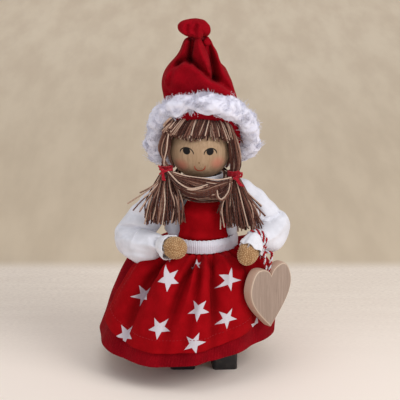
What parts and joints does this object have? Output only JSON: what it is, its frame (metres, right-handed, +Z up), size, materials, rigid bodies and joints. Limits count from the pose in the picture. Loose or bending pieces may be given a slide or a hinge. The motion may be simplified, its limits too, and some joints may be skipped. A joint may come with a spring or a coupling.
{
  "type": "tomte doll",
  "caption": "Standing girl tomte doll: wooden body and ball head, yarn hair, tall felt hat with fur band, felt skirt with star-print apron, posable wire arms, wooden heart on a twine.",
  "frame": {"origin": "on the floor, below the middle of the doll's bounding box", "axes": "+Z up, the doll faces -Y, its left hand with the heart is towards +X"},
  "size_m": [0.113, 0.1028, 0.2036],
  "materials": {
    "black_painted_wood": "semi-gloss black paint",
    "birch": "raw turned wood",
    "face_wood": "raw turned wood with painted features",
    "heart_wood": "sawn wood, sanded edges",
    "brown_yarn": "twisted two-tone yarn",
    "red_yarn": "soft wool yarn",
    "hat_felt": "brushed felt",
    "skirt_felt": "thick pressed felt",
    "star_cotton": "woven cotton with printed white stars",
    "white_knit": "fine brushed knit",
    "white_ribbon": "ribbed ribbon",
    "white_fur": "long soft fur",
    "wadding": "loose fibre filling",
    "white_thread": "sewing thread",
    "tan_knit": "looped knit cover",
    "steel_wire": "soft annealed wire",
    "red_white_twine": "twisted red and white twine"
  },
  "bodies": {
    "doll": {"shoe_right": "black_painted_wood", "shoe_left": "black_painted_wood", "leg_dowel_right": "birch", "leg_dowel_left": "birch", "body_block": "birch", "neck_dowel": "birch", "shoulder_wire": "steel_wire", "blouse": "white_knit", "bib": "star_cotton", "felt_skirt": "skirt_felt", "star_apron": "star_cotton", "waist_ribbon": "white_ribbon", "neck_wrap": "brown_yarn", "head_ball": "face_wood", "hair_cap": "brown_yarn", "fringe": "brown_yarn", "hat": "hat_felt", "hat_fur_band": "white_fur", "hat_gather_thread": "red_yarn", "hair_bunch_right": "brown_yarn", "hair_bunch_left": "brown_yarn", "hair_tie_right": "red_yarn", "hair_tie_left": "red_yarn"},
    "tail_right": {"hair_tail_right": "brown_yarn"},
    "tail_left": {"hair_tail_left": "brown_yarn"},
    "upper_arm_right": {"upper_sleeve_right": "white_knit", "upper_wadding_right": "wadding", "upper_arm_wire_right": "steel_wire"},
    "forearm_right": {"lower_sleeve_right": "white_knit", "lower_wadding_right": "wadding", "forearm_wire_right": "steel_wire", "hand_right": "tan_knit", "cuff_thread_right": "white_thread"},
    "upper_arm_left": {"upper_sleeve_left": "white_knit", "upper_wadding_left": "wadding", "upper_arm_wire_left": "steel_wire"},
    "forearm_left": {"lower_sleeve_left": "white_knit", "lower_wadding_left": "wadding", "forearm_wire_left": "steel_wire", "hand_left": "tan_knit", "wrist_twine": "red_white_twine"},
    "heart_pendant": {"heart": "heart_wood", "heart_twine": "red_white_twine"}
  },
  "joints": [
    {"name": "shoulder_right", "type": "hinge", "parent": "doll", "child": "upper_arm_right", "pos_m": [-0.01591, -0.00078, 0.1025], "axis": [0, 1, 0], "range_deg": [0, 40]},
    {"name": "shoulder_left", "type": "hinge", "parent": "doll", "child": "upper_arm_left", "pos_m": [0.02529, -0.00078, 0.1025], "axis": [0, -1, 0], "range_deg": [0, 40]},
    {"name": "elbow_right", "type": "hinge", "parent": "upper_arm_right", "child": "forearm_right", "pos_m": [-0.03781, -0.00478, 0.078], "axis": [0, 0, -1], "range_deg": [0, 60]},
    {"name": "elbow_left", "type": "hinge", "parent": "upper_arm_left", "child": "forearm_left", "pos_m": [0.04769, -0.00478, 0.081], "axis": [0, 0, 1], "range_deg": [0, 60]},
    {"name": "heart_swing", "type": "hinge", "parent": "forearm_left", "child": "heart_pendant", "pos_m": [0.04219, -0.02778, 0.0745], "axis": [-0.7071, -0.7071, 0], "range_deg": [0, 60]},
    {"name": "tail_right_lift", "type": "hinge", "parent": "doll", "child": "tail_right", "pos_m": [-0.01581, -0.01128, 0.119], "axis": [-1, 0, 0], "range_deg": [0, 60]},
    {"name": "tail_left_lift", "type": "hinge", "parent": "doll", "child": "tail_left", "pos_m": [0.02199, -0.01128, 0.116], "axis": [-1, 0, 0], "range_deg": [0, 60]}
  ]
}
